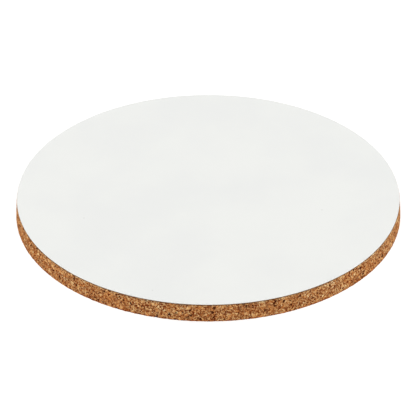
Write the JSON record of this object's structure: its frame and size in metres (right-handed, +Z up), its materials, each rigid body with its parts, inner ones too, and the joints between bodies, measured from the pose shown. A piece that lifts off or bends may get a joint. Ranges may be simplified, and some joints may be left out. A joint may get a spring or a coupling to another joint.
{
  "type": "round white-faced cork board",
  "caption": "Round frameless cork board: a thick disc of pressed cork granules with a thin smooth white facing on top, lying flat on its cork side.",
  "frame": {"origin": "centre of the underside, where the board rests on a table", "axes": "+Z up through the thickness, from the cork side to the white face; +X and +Y lie in the underside, and the board is round, so they point no special way"},
  "size_m": [0.2, 0.2, 0.0103],
  "materials": {
    "pressed_cork": "matte",
    "dried_glue": "satin",
    "sheet_core": "matte",
    "white_face": "matte"
  },
  "bodies": {
    "root": {"cork_disc": "pressed_cork", "adhesive_film": "dried_glue", "facing_sheet": "sheet_core", "white_coat": "white_face"}
  },
  "joints": []
}
